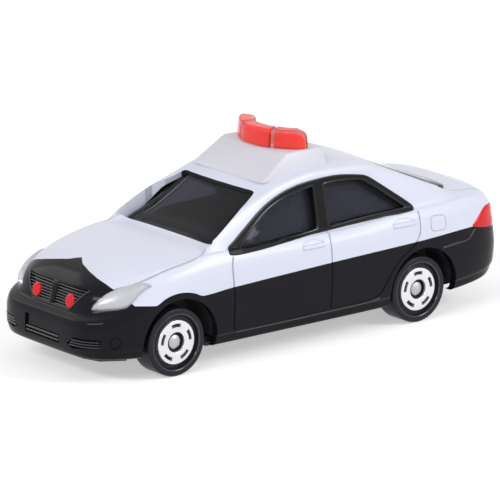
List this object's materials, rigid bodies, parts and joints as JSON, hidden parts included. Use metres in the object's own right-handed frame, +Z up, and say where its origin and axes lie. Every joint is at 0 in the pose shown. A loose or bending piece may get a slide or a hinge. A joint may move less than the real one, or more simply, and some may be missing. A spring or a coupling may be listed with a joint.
{
  "type": "die-cast toy patrol car",
  "caption": "Die-cast toy patrol saloon with a roof light bar: free-rolling wheels on sprung axles under a metal body riveted to a flat plastic base.",
  "frame": {"origin": "on the ground, under the middle of the car", "axes": "+X towards the tail, +Y towards the car's right side, +Z up"},
  "size_m": [0.077, 0.0284, 0.0307],
  "materials": {
    "body_paint": "gloss",
    "smoked_window": "clear smoked",
    "tub_plastic": "satin",
    "base_plastic": "satin",
    "white_plastic": "satin",
    "red_lens": "clear red",
    "spring_steel": "bright",
    "axle_steel": "bright",
    "wheel_plastic": "satin, silver disc"
  },
  "bodies": {
    "car": {"body_shell": "body_paint", "window_glass": "smoked_window", "interior_tub": "tub_plastic", "chassis_base": "base_plastic", "roof_light_box": "white_plastic", "light_bar_lens": "red_lens"},
    "front_spring": {"front_leaf_spring": "spring_steel"},
    "rear_spring": {"rear_leaf_spring": "spring_steel"},
    "front_wheels": {"front_axle": "axle_steel", "front_left_wheel": "wheel_plastic", "front_right_wheel": "wheel_plastic"},
    "rear_wheels": {"rear_axle": "axle_steel", "rear_left_wheel": "wheel_plastic", "rear_right_wheel": "wheel_plastic"}
  },
  "joints": [
    {"name": "front_suspension", "type": "hinge", "parent": "car", "child": "front_spring", "pos_m": [-0.0129, 0, 0.00615], "axis": [0, 1, 0], "range_deg": [0, 5], "stiffness_Nm_per_rad": 0.05, "springref_deg": -6.88},
    {"name": "rear_suspension", "type": "hinge", "parent": "car", "child": "rear_spring", "pos_m": [0.0093, 0, 0.00615], "axis": [0, -1, 0], "range_deg": [0, 5], "stiffness_Nm_per_rad": 0.05, "springref_deg": -6.88},
    {"name": "front_roll", "type": "hinge", "parent": "front_spring", "child": "front_wheels", "pos_m": [-0.0244, 0, 0.00505], "axis": [0, 1, 0], "continuous": true},
    {"name": "rear_roll", "type": "hinge", "parent": "rear_spring", "child": "rear_wheels", "pos_m": [0.0208, 0, 0.00505], "axis": [0, 1, 0], "continuous": true}
  ]
}
